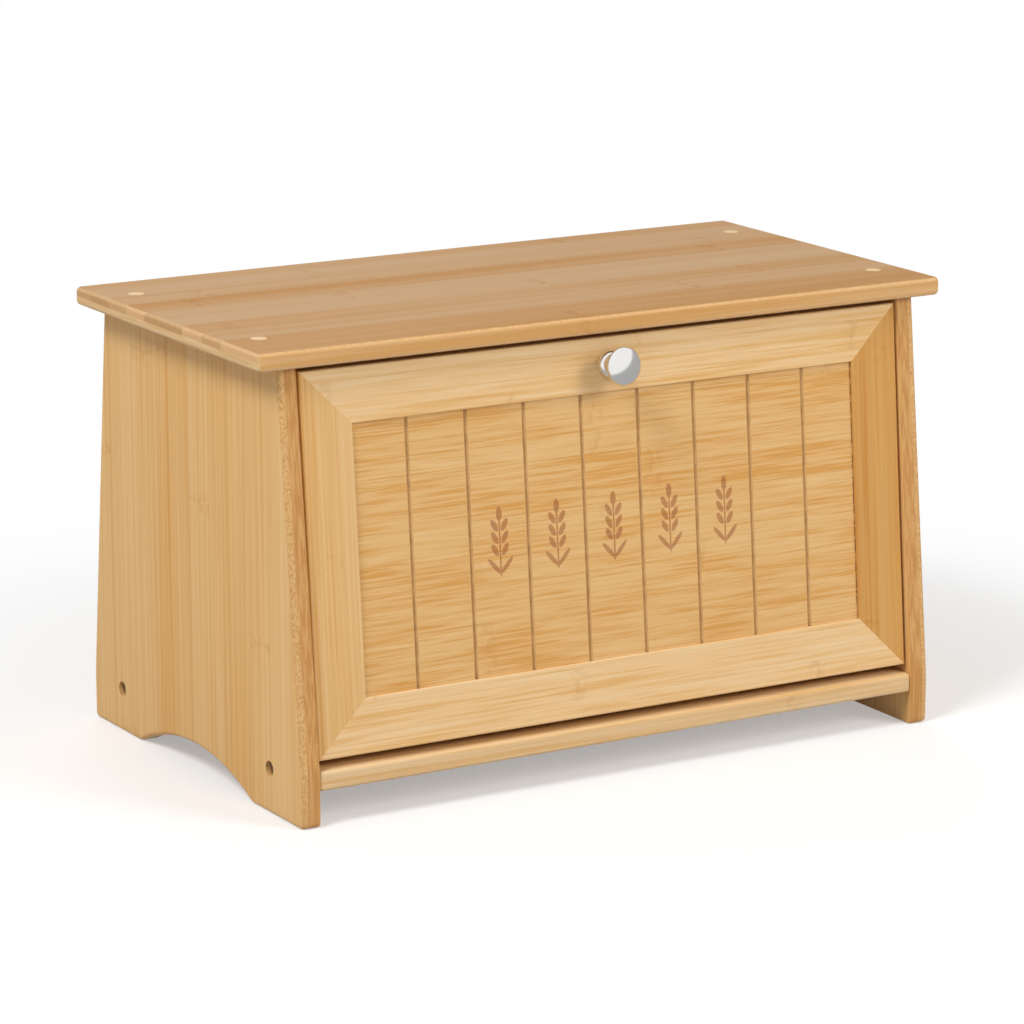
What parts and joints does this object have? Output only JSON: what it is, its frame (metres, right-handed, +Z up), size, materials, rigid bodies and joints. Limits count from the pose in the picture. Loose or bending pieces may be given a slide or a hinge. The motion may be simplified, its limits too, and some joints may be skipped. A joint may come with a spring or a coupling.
{
  "type": "bread box",
  "caption": "Slant-sided bamboo bread box with a framed, grooved front door that drops open on two pins, a turned metal knob and arched feet.",
  "frame": {"origin": "on the table, under the middle of the box", "axes": "+X to the right seen from the front, +Y to the back, +Z up; the door is at -Y"},
  "size_m": [0.4, 0.235, 0.236],
  "materials": {
    "bamboo_top": "satin lacquered bamboo, long strips",
    "bamboo_side": "satin lacquered bamboo, upright strips",
    "bamboo_board": "satin lacquered bamboo",
    "bamboo_back": "satin lacquered bamboo",
    "bamboo_rail": "satin lacquered bamboo, grain along the rail",
    "bamboo_stile": "satin lacquered bamboo, upright grain",
    "bamboo_panel": "satin lacquered bamboo, streaked across",
    "bamboo_plug": "bare end grain",
    "satin_nickel": "satin nickel",
    "screw_steel": "zinc plated",
    "pin_steel": "drawn steel",
    "magnet_nickel": "nickel plated"
  },
  "bodies": {
    "case": {"top_panel": "bamboo_top", "left_side": "bamboo_side", "right_side": "bamboo_side", "bottom_board": "bamboo_board", "back_panel": "bamboo_back", "door_stop_batten": "bamboo_board", "top_screws": "screw_steel", "top_plugs": "bamboo_plug", "side_screws": "screw_steel", "batten_screws": "screw_steel", "catch_magnets": "magnet_nickel"},
    "door": {"door_top_rail": "bamboo_rail", "door_bottom_rail": "bamboo_rail", "door_left_stile": "bamboo_stile", "door_right_stile": "bamboo_stile", "door_panel": "bamboo_panel", "left_hinge_pin": "pin_steel", "right_hinge_pin": "pin_steel", "mitre_dowels": "bamboo_plug", "strike_discs": "pin_steel", "knob": "satin_nickel", "knob_screw": "screw_steel"}
  },
  "joints": [
    {"name": "door_hinge", "type": "hinge", "parent": "case", "child": "door", "pos_m": [0, -0.10647, 0.0389], "axis": [1, 0, 0], "range_deg": [0, 99.5]}
  ]
}
